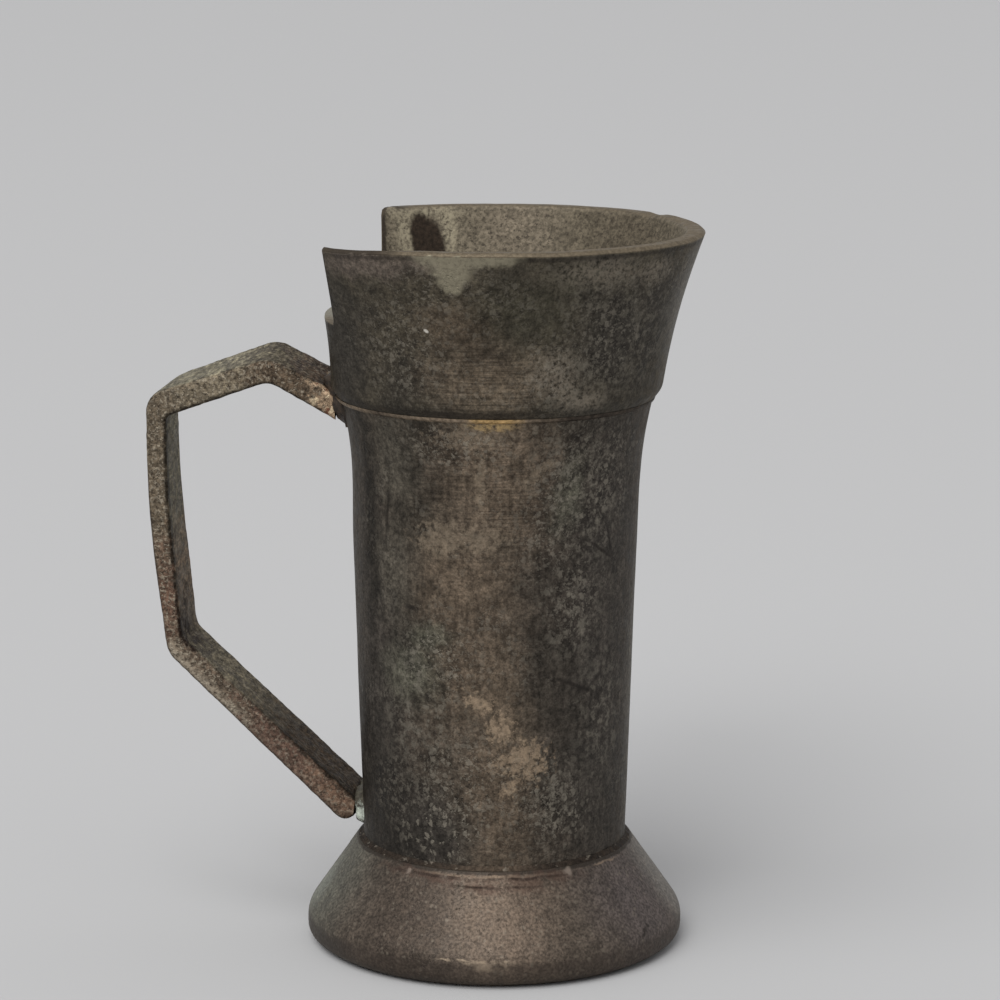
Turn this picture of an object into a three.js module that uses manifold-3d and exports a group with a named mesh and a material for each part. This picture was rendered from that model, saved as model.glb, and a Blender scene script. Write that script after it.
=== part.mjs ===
// Brass measuring cup: a small footed beaker with a flared mouth, notched on the handle's side,
// and a bent strap handle soldered to its wall.
// Millimetres, +Z up, origin at the centre of the foot's underside, handle along -X.

import * as THREE from 'three';
import { mergeVertices } from 'three/addons/utils/BufferGeometryUtils.js';
import Module from 'manifold-3d';

const wasm = await Module();
wasm.setup();

// Overall sizes
const cupHeight = 48.3;
const rimRadius = 13.8;
const footRadius = 12.7;

// Foot
const footContactRadius = 12.0;
const footBandHeight = 2.0;
const footEdgeRound = 0.6;
const footShoulderRound = 0.6;
const footHeight = 7.0;
const footLip = 0.35;
const socketDepth = 1.5;
const floorRise = 1.0;
const spigotChamfer = 0.3;

// Tube
const neckRadius = 8.8;
const waistRadius = 9.55;
const seatRadius = 10.5;
const tubeWall = 0.85;
const flareLength = 7.7;
const flareStartSlope = 0.03;
const flareStartPull = 0.45;
const flareEndSlope = 0.24;
const flareEndPull = 0.32;

// Mouth
const mouthHeight = 10.4;
const collarStep = 0.6;
const collarChamfer = 0.65;
const collarEdgeWidth = 0.08;
const collarLap = 2.1;
const collarSlope = 0.15;
const collarPull = 0.385;
const rimSlope = 0.36;
const rimPull = 0.335;
const lipWall = 1.3;
const lipRound = 0.2;
const notchDepth = 5.6;
const notchChord = 9.5;

// Handle
const strapWidth = 4.6;
const strapThickness = 1.5;
const strapBend = 0.3;
const strapEdgeRound = 0.22;
const upperJointDrop = 0.95;
const peakReach = 15.15;
const peakRise = 1.2;
const gripReach = 22.85;
const gripTopDrop = 1.5;
const heelReach = 21.75;
const heelHeight = 19.75;
const lowerJointRise = 0.9;
const strapTipRise = 0.95;

// Solder
const seamGap = 0.05;
const saddleThickness = 0.4;
const saddleMargin = 0.45;
const saddleSpan = 4.5;
const collarFilletLeg = 0.45;
const collarFilletWidth = 0.16;
const neckFilletLeg = 0.35;
const lowerSaddleGap = 0.2;

// Facets
const turnSegments = 64;
const curveSteps = 5;
const bendSteps = 2;
const edgeSteps = 2;
const weldDistance = 1e-5;

// Length of the blocks that cut or trim, more than any piece is long
const cutterSize = 120;

// Levels that follow from the sizes above
const collarHeight = cupHeight - mouthHeight;
const sleeveEnd = collarHeight - collarChamfer;
const flareStart = sleeveEnd - flareLength;
const tubeTop = sleeveEnd + collarLap;
const notchFloor = cupHeight - notchDepth;
const collarRadius = seatRadius + collarStep;
const boreRadius = seatRadius - tubeWall;
const tubeStart = footHeight - socketDepth;
const taper = (waistRadius - neckRadius) / (flareStart - tubeStart);
const socketRadius = neckRadius + Math.max(taper, 0) * socketDepth + seamGap;
const spigotRadius = neckRadius + Math.min(taper, 0) * (socketDepth + floorRise) - tubeWall - seamGap;
const neckSeamTop = footHeight + seamGap + neckFilletLeg;

function brass(color, roughness) {
  return new THREE.MeshStandardMaterial({ color, roughness, metalness: 0.85 });
}

function revolve(points) {
  const geometry = new THREE.LatheGeometry(points, turnSegments);
  geometry.rotateX(Math.PI / 2);
  return geometry;
}

function toSolid(geometry) {
  const bare = geometry.clone();
  bare.deleteAttribute('normal');
  bare.deleteAttribute('uv');
  const merged = mergeVertices(bare, weldDistance);
  return new wasm.Manifold(new wasm.Mesh({
    numProp: 3,
    vertProperties: new Float32Array(merged.attributes.position.array),
    triVerts: new Uint32Array(merged.index.array),
  }));
}

function toGeometry(solid) {
  const mesh = solid.getMesh();
  const geometry = new THREE.BufferGeometry();
  geometry.setAttribute('position', new THREE.BufferAttribute(mesh.vertProperties, 3));
  geometry.setIndex(new THREE.BufferAttribute(mesh.triVerts, 1));
  geometry.computeVertexNormals();
  return geometry;
}

// The tube's side, from its lower end to its upper end: a slow taper, a flare up to the collar, then the
// straight seat inside the mouth's sleeve. The inset moves it towards the axis.
function tubeSide(inset) {
  const side = new THREE.Path();
  side.moveTo(neckRadius - inset, tubeStart);
  side.lineTo(waistRadius - inset, flareStart);
  const startPull = flareLength * flareStartPull;
  const endPull = flareLength * flareEndPull;
  side.bezierCurveTo(
    waistRadius - inset + flareStartSlope * startPull, flareStart + startPull,
    seatRadius - inset - flareEndSlope * endPull, sleeveEnd - endPull,
    seatRadius - inset, sleeveEnd,
  );
  side.lineTo(seatRadius - inset, tubeTop);
  return side.getPoints(curveSteps);
}

// The mouth's trumpet curve between two points of its section, outside or in the bore.
function trumpet(path, fromRadius, fromHeight, toRadius, toHeight) {
  const startPull = (toHeight - fromHeight) * collarPull;
  const endPull = (toHeight - fromHeight) * rimPull;
  path.moveTo(fromRadius, fromHeight);
  path.bezierCurveTo(
    fromRadius + collarSlope * startPull, fromHeight + startPull,
    toRadius - rimSlope * endPull, toHeight - endPull,
    toRadius, toHeight,
  );
}

// The outside of tube and mouth as one line, with the seam under the collar bridged, moved outwards by a gap.
function cupSide(gap) {
  const tube = tubeSide(0).filter((point) => point.y < sleeveEnd - collarFilletLeg);
  const mouth = new THREE.Path();
  trumpet(mouth, collarRadius, collarHeight, rimRadius, cupHeight);
  const line = [...tube, ...mouth.getPoints(curveSteps)];
  return line.map((point) => new THREE.Vector2(point.x + gap, point.y));
}

// Foot: a turned cone on a rounded band. A ring socket in its top takes the tube's lower end, and the
// spigot inside the socket is the floor of the cup.
function makeFoot() {
  const spigotTop = footHeight + floorRise;
  const socketFloor = tubeStart - seamGap;
  const lipTop = new THREE.Vector2(socketRadius + footLip, footHeight);
  const shoulder = new THREE.Vector2(footRadius, footBandHeight);
  const coneFoot = lipTop.clone().sub(shoulder).setLength(footShoulderRound).add(shoulder);
  const outline = new THREE.Path();
  outline.moveTo(0, 0);
  outline.lineTo(footContactRadius, 0);
  outline.quadraticCurveTo(footRadius, 0, footRadius, footEdgeRound);
  outline.lineTo(footRadius, footBandHeight - footShoulderRound);
  outline.quadraticCurveTo(shoulder.x, shoulder.y, coneFoot.x, coneFoot.y);
  outline.lineTo(lipTop.x, lipTop.y);
  outline.lineTo(socketRadius, footHeight);
  outline.lineTo(socketRadius, socketFloor);
  outline.lineTo(spigotRadius, socketFloor);
  outline.lineTo(spigotRadius, spigotTop - spigotChamfer);
  outline.lineTo(spigotRadius - spigotChamfer, spigotTop);
  outline.lineTo(0, spigotTop);
  return revolve(outline.getPoints(curveSteps));
}

// Seam at the neck: a three-sided ring in the corner of the tube and the foot's lip.
function makeNeckSeam() {
  const low = footHeight + seamGap;
  const corner = new THREE.Vector2(socketRadius, low);
  const edge = new THREE.Vector2(socketRadius + footLip, low);
  const top = new THREE.Vector2(socketRadius + Math.max(taper, 0) * neckFilletLeg, neckSeamTop);
  return revolve([corner, edge, top, corner]);
}

// Tube: an open length of thin-walled pipe that stands in the foot's socket.
function makeTube() {
  const outside = tubeSide(0);
  const inside = tubeSide(tubeWall).reverse();
  return revolve([...outside, ...inside, outside[0]]);
}

// Mouth: a sleeve lapped over the tube's top that opens into a trumpet, with a flat-floored notch in its rim.
function makeMouth() {
  const sleeveRadius = seatRadius + seamGap;
  const outer = new THREE.Path();
  trumpet(outer, collarRadius, collarHeight, rimRadius, cupHeight - lipRound);
  const bore = new THREE.Path();
  trumpet(bore, boreRadius, tubeTop + seamGap, rimRadius - lipWall, cupHeight - lipRound);
  const sleeveFoot = new THREE.Vector2(sleeveRadius, sleeveEnd + seamGap);
  const section = [
    sleeveFoot,
    new THREE.Vector2(sleeveRadius + collarEdgeWidth, sleeveEnd + seamGap),
    ...outer.getPoints(curveSteps),
    new THREE.Vector2(rimRadius - lipRound, cupHeight),
    new THREE.Vector2(rimRadius - lipWall + lipRound, cupHeight),
    ...bore.getPoints(curveSteps).reverse(),
    new THREE.Vector2(sleeveRadius, tubeTop + seamGap),
    sleeveFoot,
  ];
  const notch = new THREE.BoxGeometry(cutterSize, cutterSize, cutterSize);
  notch.translate(-notchChord - cutterSize / 2, 0, notchFloor + cutterSize / 2);
  return toGeometry(toSolid(revolve(section)).subtract(toSolid(notch)));
}

// Fillet under the mouth's lower edge, a three-sided ring in the corner of tube and sleeve.
function makeCollarSolder() {
  const low = sleeveEnd - collarFilletLeg;
  const start = new THREE.Vector2(seatRadius + seamGap - flareEndSlope * collarFilletLeg, low);
  const corner = new THREE.Vector2(seatRadius + seamGap, sleeveEnd);
  const edge = new THREE.Vector2(seatRadius + seamGap + collarFilletWidth, sleeveEnd);
  return revolve([start, edge, corner, start]);
}

// The strap's side outline: a strip of even thickness that follows five points, with a round bend at each
// inner one. All bends turn the same way, so the inside of each is on the finger's side.
function strapOutline(thickness) {
  const route = [
    new THREE.Vector2(-boreRadius, collarHeight - upperJointDrop
      - (collarRadius - boreRadius) * (peakRise + upperJointDrop) / (peakReach - collarRadius)),
    new THREE.Vector2(-peakReach, collarHeight + peakRise),
    new THREE.Vector2(-gripReach, collarHeight - gripTopDrop),
    new THREE.Vector2(-heelReach, heelHeight),
    new THREE.Vector2(-neckRadius + tubeWall, footHeight + lowerJointRise
      - tubeWall * (heelHeight - footHeight - lowerJointRise) / (heelReach - neckRadius)),
  ];
  const sideOf = (from, to) => {
    const along = to.clone().sub(from).normalize();
    return new THREE.Vector2(-along.y, along.x);
  };
  const middleRadius = strapBend + strapThickness / 2;
  const outerRadius = middleRadius + thickness / 2;
  const innerRadius = Math.max(middleRadius - thickness / 2, 0);
  const bends = [1, 2, 3].map((index) => {
    const before = sideOf(route[index - 1], route[index]);
    const after = sideOf(route[index], route[index + 1]);
    const inward = before.clone().add(after).normalize();
    const centre = route[index].clone().addScaledVector(inward, middleRadius / inward.dot(before));
    const startAngle = Math.atan2(-before.y, -before.x);
    const endAngle = Math.atan2(-after.y, -after.x);
    return { centre, startAngle, endAngle };
  });
  const firstSide = sideOf(route[0], route[1]).multiplyScalar(thickness / 2);
  const lastSide = sideOf(route[3], route[4]).multiplyScalar(thickness / 2);
  const outline = new THREE.Shape();
  outline.moveTo(route[0].x + firstSide.x, route[0].y + firstSide.y);
  outline.lineTo(route[0].x - firstSide.x, route[0].y - firstSide.y);
  for (const { centre, startAngle, endAngle } of bends) {
    outline.absarc(centre.x, centre.y, outerRadius, startAngle, endAngle, false);
  }
  outline.lineTo(route[4].x - lastSide.x, route[4].y - lastSide.y);
  outline.lineTo(route[4].x + lastSide.x, route[4].y + lastSide.y);
  for (const { centre, startAngle, endAngle } of bends.toReversed()) {
    outline.absarc(centre.x, centre.y, innerRadius, endAngle, startAngle, true);
  }
  outline.closePath();
  return outline;
}

// A strip with the strap's route, grown on all sides by a margin, with its long edges rounded.
function strapBar(margin) {
  const width = strapWidth + 2 * margin;
  const bar = new THREE.ExtrudeGeometry(strapOutline(strapThickness + 2 * margin), {
    depth: width - 2 * strapEdgeRound,
    curveSegments: bendSteps,
    bevelThickness: strapEdgeRound,
    bevelSize: strapEdgeRound,
    bevelOffset: -strapEdgeRound,
    bevelSegments: edgeSteps,
  });
  bar.rotateX(Math.PI / 2);
  bar.translate(0, width / 2 - strapEdgeRound, 0);
  return toSolid(bar);
}

// All that lies within a gap of the cup's outside, down to the axis.
function cupCore(gap) {
  const side = cupSide(gap);
  const low = new THREE.Vector2(0, side[0].y);
  const high = new THREE.Vector2(0, side[side.length - 1].y);
  return toSolid(revolve([low, ...side, high]));
}

// Handle: the bent strip, with both ends shaped to lie against the solder on the cup's side and the
// lower tip filed level.
function makeHandle() {
  const endGap = saddleThickness + 2 * seamGap;
  const tipLevel = footHeight + strapTipRise;
  const below = new THREE.BoxGeometry(cutterSize, cutterSize, cutterSize);
  below.translate(0, 0, tipLevel - cutterSize / 2);
  return toGeometry(strapBar(0).subtract(cupCore(endGap)).subtract(toSolid(below)));
}

// Solder saddle: a thin skin on the cup's side, a little larger than the strap's end, between two levels.
function makeSaddle(low, high) {
  const skin = cupCore(seamGap + saddleThickness).subtract(cupCore(seamGap));
  const slab = new THREE.BoxGeometry(cutterSize, cutterSize, high - low);
  slab.translate(0, 0, (high + low) / 2);
  return toGeometry(skin.intersect(strapBar(saddleMargin)).intersect(toSolid(slab)));
}

const upperJointHeight = collarHeight - upperJointDrop;
const lowerSaddleStart = neckSeamTop + lowerSaddleGap;

const cup = new THREE.Group();
cup.name = 'measuring_cup';

function addPiece(name, geometry, material) {
  const piece = new THREE.Mesh(geometry, material);
  piece.name = name;
  cup.add(piece);
}

addPiece('foot', makeFoot(), brass(0x5c5044, 0.55));
addPiece('neck_seam_ring', makeNeckSeam(), brass(0x7a6350, 0.5));
addPiece('beaker_tube', makeTube(), brass(0x4d453d, 0.5));
addPiece('flared_mouth', makeMouth(), brass(0x57504a, 0.5));
addPiece('collar_solder', makeCollarSolder(), brass(0x9a7f55, 0.4));
addPiece('handle_strap', makeHandle(), brass(0x6d6252, 0.55));
addPiece(
  'upper_handle_solder',
  makeSaddle(upperJointHeight - saddleSpan, upperJointHeight + saddleSpan),
  brass(0xb59a72, 0.4),
);
addPiece(
  'lower_handle_solder',
  makeSaddle(lowerSaddleStart, lowerSaddleStart + 2 * saddleSpan),
  brass(0x8d9384, 0.6),
);

export default cup;
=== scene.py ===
from math import cos, degrees, pi, radians, sin, tau

import bmesh
import bpy
from mathutils import Matrix, Vector, noise


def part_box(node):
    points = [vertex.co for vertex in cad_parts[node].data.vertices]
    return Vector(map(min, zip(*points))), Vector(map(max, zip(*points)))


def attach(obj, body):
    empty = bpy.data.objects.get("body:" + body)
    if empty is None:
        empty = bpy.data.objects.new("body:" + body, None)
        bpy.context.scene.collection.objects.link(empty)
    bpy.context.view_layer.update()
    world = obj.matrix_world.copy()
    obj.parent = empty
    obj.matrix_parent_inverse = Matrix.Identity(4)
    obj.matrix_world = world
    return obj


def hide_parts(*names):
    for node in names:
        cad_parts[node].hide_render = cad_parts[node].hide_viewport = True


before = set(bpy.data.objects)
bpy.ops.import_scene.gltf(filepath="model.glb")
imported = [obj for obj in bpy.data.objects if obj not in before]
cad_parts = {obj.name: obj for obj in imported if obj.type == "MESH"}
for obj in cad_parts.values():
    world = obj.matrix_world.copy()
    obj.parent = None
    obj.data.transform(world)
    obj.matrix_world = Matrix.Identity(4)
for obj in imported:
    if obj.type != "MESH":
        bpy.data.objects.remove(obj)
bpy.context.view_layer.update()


# Foot
# A solid brass foot turned on a lathe: a cone on a rounded band, with a ring socket in its top for the tube
# and a spigot inside that is the floor of the cup. Two fine lines are cut round the top of the cone, and its
# skin has gone an even brown-grey.

mm = 0.001
turn_steps = 240
ease_steps = 6


def reach(node):
    """The lowest and highest corners of a node of the frame, in millimetres."""
    return [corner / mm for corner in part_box(node)]


_, foot_high = reach("foot")
tube_low, tube_high = reach("beaker_tube")
neck_radius = 8.8
foot_radius = foot_high.x
foot_contact = foot_radius - 1.0
foot_band_low = 0.5
foot_shoulder = 2.0
foot_shoulder_round = 0.65
foot_top = 7.0
socket_radius = neck_radius + 0.08
foot_lip_radius = socket_radius + 0.35
socket_floor = tube_low.z - 0.05
spigot_radius = neck_radius - 0.9
spigot_top = foot_high.z
spigot_chamfer = 0.3
line_heights = (6.07, 6.55)
line_middles = (-79, -90)
line_half_turns = (26, 46)
line_half_width = 0.12
line_depth = 0.075
weld_distance = 0.002
line_wear = [(0.6, 1.6)]
line_waves = [(0.07, 2.2)]
foot_lumps = [(0.018, 1.7), (0.03, 6.0)]


def tone(red, green, blue):
    """A colour given as a paint chart gives it, 0 to 255 a channel, for a shader's socket."""
    straight = []
    for channel in (red, green, blue):
        share = channel / 255
        straight.append(share / 12.92 if share <= 0.04045 else ((share + 0.055) / 1.055) ** 2.4)
    return (*straight, 1.0)


def rounded(before, here, after, ease):
    """Points round a corner of a line, from the ease's length before it to the same length after it."""
    start = here + (before - here).normalized() * ease
    end = here + (after - here).normalized() * ease
    points = []
    for step in range(ease_steps + 1):
        share = step / ease_steps
        points.append(start.lerp(here, share).lerp(here.lerp(end, share), share))
    return points


def eased(corners, spacing):
    """Points along a line of (across, up, round) corners: each corner is eased over its round, and the
    straights between are filled in at about the spacing."""
    spots = [Vector(corner[:2]) for corner in corners]
    points = []
    for index, (*_, ease) in enumerate(corners):
        if ease == 0:
            points.append(spots[index])
        else:
            points += rounded(spots[index - 1], spots[index], spots[index + 1], ease)
    line = [points[0]]
    for point in points[1:]:
        start = line[-1]
        count = max(1, round((point - start).length / spacing))
        line.extend(start.lerp(point, step / count) for step in range(1, count + 1))
    return line


def closed_line(corners, spacing):
    """The same points for a section that comes back to its first corner."""
    return eased(corners + corners[:1], spacing)[:-1]


def finished_piece(name, shell, crease=40):
    """Makes a bmesh an object of the cup: faces out, smooth, with edges over the crease angle left sharp."""
    bmesh.ops.remove_doubles(shell, verts=shell.verts, dist=weld_distance * mm)
    bmesh.ops.recalc_face_normals(shell, faces=shell.faces)
    mesh = bpy.data.meshes.new(name)
    shell.to_mesh(mesh)
    shell.free()
    mesh.polygons.foreach_set("use_smooth", [True] * len(mesh.polygons))
    mesh.set_sharp_from_angle(angle=radians(crease))
    piece = bpy.data.objects.new(name, mesh)
    bpy.context.scene.collection.objects.link(piece)
    return piece


def corner_at(shell, angle, radius, height):
    """Adds a corner to a bmesh at an angle round the cup's axis."""
    return shell.verts.new((radius * cos(angle) * mm, radius * sin(angle) * mm, height * mm))


def fill_bands(shell, rings, closed=False):
    """Fills the bands between rings of corners, and from the last ring to the first if they close up."""
    bands = list(zip(rings, rings[1:]))
    if closed:
        bands.append((rings[-1], rings[0]))
    for ring, beside in bands:
        count = max(len(ring), len(beside))
        for step in range(count):
            after = (step + 1) % count
            corners = [ring[step % len(ring)], ring[after % len(ring)]]
            corners += [beside[after % len(beside)], beside[step % len(beside)]]
            shell.faces.new(list(dict.fromkeys(corners)))


def turned_piece(name, line, shape, closed=False):
    """Turns a line of (radius, height) points about the cup's axis. The shape moves each for its angle."""
    shell = bmesh.new()
    rings = []
    for point in line:
        if point.x == 0:
            rings.append([corner_at(shell, 0, *point)])
            continue
        ring = []
        for step in range(turn_steps):
            angle = tau * step / turn_steps - pi
            ring.append(corner_at(shell, angle, *shape(angle, *point)))
        rings.append(ring)
    fill_bands(shell, rings, closed)
    return finished_piece(name, shell)


def uneven(place, lumps):
    """A smooth random number at a place. Each of the lumps has its depth and its length."""
    return sum(depth * noise.noise(place / length) for depth, length in lumps)


def on_cup(angle, radius, height):
    """The place at an angle round the cup's axis."""
    return Vector((radius * cos(angle), radius * sin(angle), height))


def eased_step(value, low, high):
    """0 at low, 1 at high, eased between. Low may be above high."""
    share = min(1, max(0, (value - low) / (high - low)))
    return share * share * (3 - 2 * share)


def cone_radius(height):
    share = (height - foot_shoulder) / (foot_top - foot_shoulder)
    return foot_radius + (foot_lip_radius - foot_radius) * share


def foot_shape(angle, radius, height):
    """The foot's small faults: lines that fade away round the sides, and a skin that isn't quite smooth."""
    for line_height, middle, half_turn in zip(line_heights, line_middles, line_half_turns):
        off_middle = abs((degrees(angle) - middle + 180) % 360 - 180)
        depth = cone_radius(height) - radius
        if abs(height - line_height) < 0.01 and 0.01 < depth < 0.5:
            patchy = 0.75 + uneven(on_cup(angle, radius, height), line_wear)
            radius = cone_radius(height) - depth * patchy * eased_step(off_middle, half_turn, half_turn * 0.7)
        if abs(height - line_height) < line_half_width + 0.03 and radius > socket_radius + 0.1:
            height += uneven(on_cup(angle, radius, line_height), line_waves)
    if radius > socket_radius + 0.1 and height > 0.05:
        radius += uneven(on_cup(angle, radius, height), foot_lumps)
    return radius, height


cone_lines = []
for line_height in line_heights:
    for height, depth in ((-line_half_width, 0), (0, line_depth), (line_half_width, 0)):
        cone_lines.append((cone_radius(line_height + height) - depth, line_height + height, 0))
foot_line = eased(
    [
        (0, 0, 0),
        (foot_contact, 0, 0.15),
        (foot_radius, foot_band_low, 0.6),
        (foot_radius, foot_shoulder, foot_shoulder_round),
        *cone_lines,
        (foot_lip_radius, foot_top, 0.08),
        (socket_radius, foot_top, 0),
        (socket_radius, socket_floor, 0),
        (spigot_radius, socket_floor, 0),
        (spigot_radius, spigot_top, spigot_chamfer),
        (0, spigot_top, 0),
    ],
    spacing=0.22,
)
foot = turned_piece("cup_foot", foot_line, foot_shape)


class Finish:
    """A worn metal skin made of shader nodes. Places and widths on the cup are in millimetres."""

    through_wall = 8.0

    def __init__(self, name, metal, glance=(1, 1, 1, 1)):
        """Metal is how metallic the skin is, and glance tints what it reflects at a low angle."""
        self.material = bpy.data.materials.new(name)
        self.material.use_nodes = True
        self.tree = self.material.node_tree
        self.shader = self.tree.nodes["Principled BSDF"]
        self.shader.inputs["Metallic"].default_value = metal
        self.shader.inputs["Specular Tint"].default_value = glance
        place = self.node("ShaderNodeTexCoord", {}, "Object")
        self.place = self.node("ShaderNodeVectorMath", {0: place, "Scale": 1 / mm}, operation="SCALE")
        self.colour = None

    def node(self, kind, inputs, output=0, **settings):
        """Adds a node with these settings and inputs, and gives one of its outputs."""
        made = self.tree.nodes.new(kind)
        for name, value in settings.items():
            setattr(made, name, value)
        for socket, value in inputs.items():
            self.feed(made.inputs[socket], value)
        return made.outputs[output]

    def feed(self, socket, value):
        if isinstance(value, bpy.types.NodeSocket):
            self.tree.links.new(value, socket)
        else:
            socket.default_value = value

    def vector(self, operation, *inputs, output=0):
        return self.node("ShaderNodeVectorMath", dict(enumerate(inputs)), output, operation=operation)

    def number(self, operation, *inputs):
        return self.node("ShaderNodeMath", dict(enumerate(inputs)), operation=operation)

    def stretched(self, *factors, place=None):
        """A place with its three lengths scaled, for marks that run round the cup or down it."""
        return self.vector("MULTIPLY", place or self.place, factors)

    def speckle(self, scale, detail=4.0, rough=0.6, place=None):
        """Soft random cloud from 0 to 1, scale humps to the millimetre."""
        inputs = {"Vector": place or self.place, "Scale": scale, "Detail": detail, "Roughness": rough}
        return self.node("ShaderNodeTexNoise", inputs, "Fac")

    def frayed(self, far, scale):
        """The place pushed about at random, which gives stains a ragged edge."""
        inputs = {"Vector": self.place, "Scale": scale, "Detail": 3.0, "Roughness": 0.65}
        cloud = self.node("ShaderNodeTexNoise", inputs, "Color")
        push = self.vector("SUBTRACT", cloud, (0.5, 0.5, 0.5))
        return self.vector("MULTIPLY_ADD", push, (far, far, far), self.place)

    def band(self, value, low, high, start=0.0, end=1.0):
        """Start at low, end at high, eased between. Low may be above high."""
        inputs = {"Value": value, "From Min": low, "From Max": high, "To Min": start, "To Max": end}
        return self.node("ShaderNodeMapRange", inputs, "Result", interpolation_type="SMOOTHSTEP")

    def times(self, product, *factors):
        for factor in factors:
            product = self.number("MULTIPLY", product, factor)
        return product

    def plus(self, first, second):
        return self.number("ADD", first, second)

    def either(self, first, second):
        return self.number("MAXIMUM", first, second)

    def gnawed(self, mask, cloud):
        """A mask eaten away in a cloud's hollows."""
        return self.times(mask, self.band(cloud, 0.32, 0.6))

    def torn(self, mask, cloud):
        """A mask with holes in it and a wide edge that is broken up into flecks by a cloud."""
        return self.band(self.plus(mask, self.band(cloud, 0.3, 0.7)), 0.9, 1.5)

    def paint(self, mask, under, over, strength=1.0):
        """Lays one colour over another where the mask is 1."""
        if strength < 1:
            mask = self.times(mask, strength)
        return self.node("ShaderNodeMix", {0: mask, 6: under, 7: over}, 2, data_type="RGBA")

    def broken(self, colour, cloud, dark, pale):
        """A colour made darker in a cloud's hollows and lighter on its humps."""
        inputs = {0: 1.0, 6: colour, 7: self.band(cloud, 0.3, 0.7, dark, pale)}
        return self.node("ShaderNodeMix", inputs, 2, data_type="RGBA", blend_type="MULTIPLY")

    def dabs(self, scale, place, more=0.0):
        """Round-edged flakes of many sizes, scale to the millimetre. More makes all of them larger."""
        distance = self.node("ShaderNodeTexVoronoi", {"Vector": place, "Scale": scale}, "Distance")
        lot = self.node("ShaderNodeSeparateColor", {0: distance.node.outputs["Color"]}, "Red")
        inner = self.number("MULTIPLY_ADD", lot, -0.55, distance)
        return self.band(inner, 0.06 + more, more - 0.16)

    def share(self, name):
        """A number kept on the mesh, such as how far along the piece a place is."""
        return self.node("ShaderNodeAttribute", {}, "Fac", attribute_name=name)

    def height(self, place):
        return self.node("ShaderNodeSeparateXYZ", {0: place}, "Z")

    def stains(self, place, radius, patches, soft=0.5):
        """A mask of patches on the cup's wall, which stands at the radius there. Each has its angle round the
        cup in degrees, its height, half its width, half its height, and its tilt if it isn't level."""
        mask = None
        for angle, height, wide, tall, *tilt in patches:
            turn = radians(angle)
            inputs = {
                "Vector": place,
                "Location": (radius * cos(turn), radius * sin(turn), height),
                "Rotation": (0, radians(sum(tilt)), turn + pi / 2),
                "Scale": (wide, self.through_wall, tall),
            }
            local = self.node("ShaderNodeMapping", inputs, vector_type="TEXTURE")
            distance = self.vector("LENGTH", local, output="Value")
            patch = self.band(distance, 1 + soft, 1 - soft)
            mask = patch if mask is None else self.either(mask, patch)
        return mask

    def coat(self, mask, over, strength=1.0):
        """Lays a colour over the skin's own where the mask is 1."""
        self.colour = self.paint(mask, self.colour, over, strength)

    def stain(self, place, radius, patches, soft, over, strength=1.0, gnaw=None):
        """Lays a colour over the skin's own in patches on the cup's wall, which a cloud may gnaw."""
        mask = self.stains(place, radius, patches, soft)
        self.coat(self.gnawed(mask, gnaw) if gnaw else mask, over, strength)

    def vary(self, *clouds):
        """Makes the skin darker in each cloud's hollows and lighter on its humps."""
        for cloud, dark, pale in clouds:
            self.colour = self.broken(self.colour, cloud, dark, pale)

    def scab(self, mask, cloud, pale, dark):
        """Lifts the skin into pale flecks and wears it into dark hollows inside the mask."""
        self.coat(self.times(mask, self.band(cloud, 0.5, 0.62, 0, 0.55)), pale)
        self.coat(self.times(mask, self.band(cloud, 0.48, 0.38, 0, 0.55)), dark)

    def relief(self, *layers):
        """Raises the skin where a layer's cloud or mask is 1, by the layer's depth in millimetres."""
        normal = None
        for height, depth in layers:
            inputs = {"Height": height, "Distance": depth * mm, "Strength": 1.0}
            if normal is not None:
                inputs["Normal"] = normal
            normal = self.node("ShaderNodeBump", inputs, "Normal")
        return normal

    def lay_on(self, piece, roughness, normal):
        """Gives a piece this skin."""
        self.feed(self.shader.inputs["Base Color"], self.colour)
        self.feed(self.shader.inputs["Roughness"], roughness)
        self.feed(self.shader.inputs["Normal"], normal)
        piece.data.materials.append(self.material)


skin = Finish("foot_patina", 0.55, tone(222, 218, 212))
clouds = skin.speckle(0.16, 3.0)
mottle = skin.speckle(1.1, 4.0, 0.65)
grain = skin.speckle(5.4, 3.0, 0.6)
fray = skin.frayed(1.6, 0.7)
skin.colour = skin.paint(skin.band(clouds, 0.35, 0.65), tone(74, 66, 58), tone(84, 75, 66))
skin.stain(fray, 11, [(-168, 4, 5, 4.5)], 0.7, tone(93, 92, 83))
skin.stain(fray, 12, [(-168, 3.6, 1.5, 1.6)], 0.6, tone(120, 122, 112))
skin.stain(fray, 11, [(-108, 4, 3.4, 4.5)], 0.8, tone(70, 61, 53))
skin.stain(fray, 11, [(-76, 4.5, 3, 4.5)], 0.8, tone(100, 87, 75))
skin.stain(fray, 11, [(-20, 4, 4, 3.5)], 0.8, tone(87, 79, 76))
# A paler patch on the foot's right flank: a painted reflection of light along that side.
skin.stain(fray, 11.5, [(9, 4.2, 2.6, 4)], 0.7, tone(122, 118, 112), 0.85)
skin.vary((mottle, 0.74, 1.3), (grain, 0.58, 1.46))
flakes = skin.dabs(2.6, skin.frayed(0.3, 3.0), -0.12)
skin.coat(flakes, tone(136, 126, 112), 0.3)
pits = skin.band(skin.speckle(3.0, 3.0, 0.6), 0.6, 0.72)
skin.coat(pits, tone(50, 43, 38), 0.35)
neck_shade = skin.band(skin.height(skin.frayed(0.4, 0.8)), foot_top - 0.24, foot_top - 0.14)
skin.coat(neck_shade, tone(50, 44, 38), 0.85)
# Thin pale lines on the cone just under the lip: a painted highlight along the lip's edge.
painted_highlight_lines = [(-84, 6.7, 3.4, 0.07), (-30, 6.74, 1.6, 0.05)]
skin.stain(skin.frayed(0.3, 1.0), 9.5, painted_highlight_lines, 0.7, tone(140, 122, 104), 0.8, gnaw=mottle)
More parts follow.
